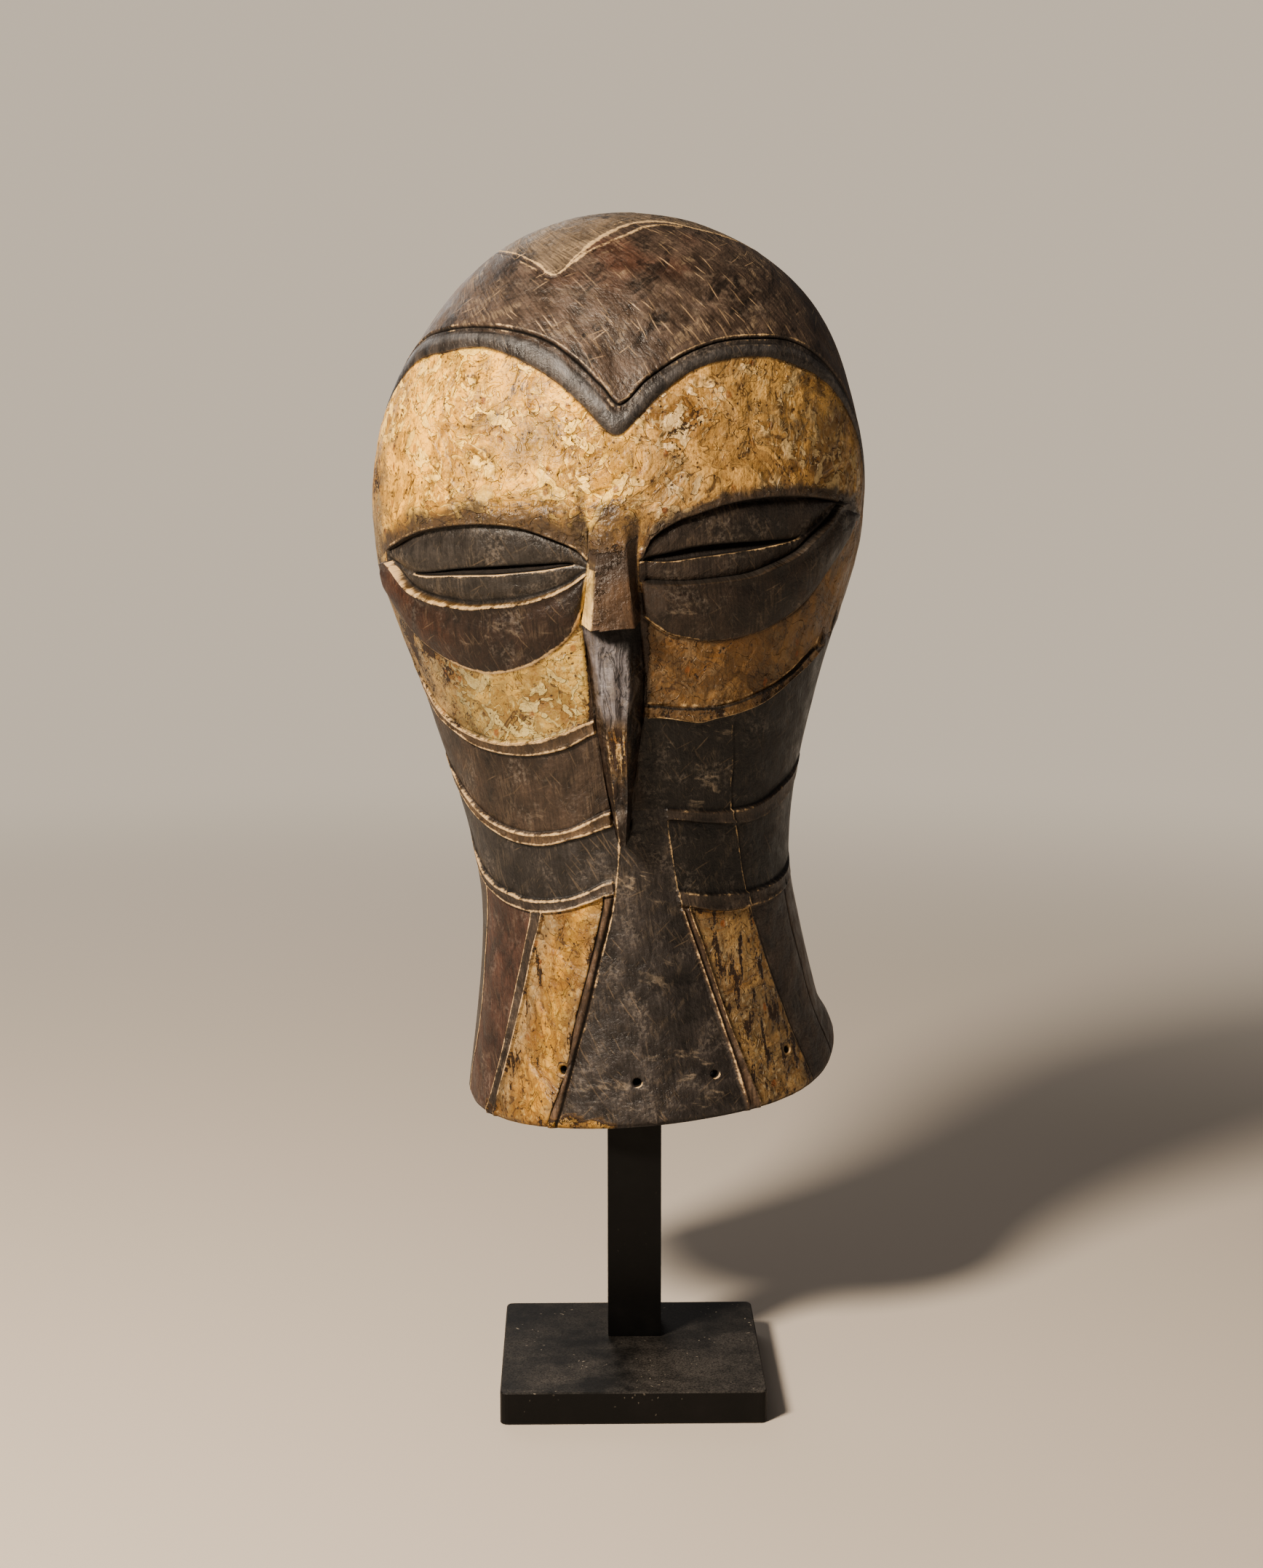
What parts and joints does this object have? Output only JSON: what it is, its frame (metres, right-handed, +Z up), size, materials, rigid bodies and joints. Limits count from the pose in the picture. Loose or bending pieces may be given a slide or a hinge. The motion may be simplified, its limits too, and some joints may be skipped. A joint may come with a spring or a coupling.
{
  "type": "carved face mask on stand",
  "caption": "Tall domed hollow wooden face mask with slit eyes, long nose beak and ringed neck, open at the back, carried by a square post on a square plate.",
  "frame": {"origin": "middle of the underside of the stand's square plate", "axes": "+Z up along the post, -Y the way the mask's face looks, +X to the right of a viewer who faces the mask"},
  "size_m": [0.2365, 0.158, 0.5428],
  "materials": {
    "mask": "dark stained and worn, with patchy ochre gold paint",
    "stand_post": "satin black",
    "stand_base": "matt black"
  },
  "bodies": {
    "root": {"mask": "mask", "stand_post": "stand_post", "stand_base": "stand_base"}
  },
  "joints": []
}
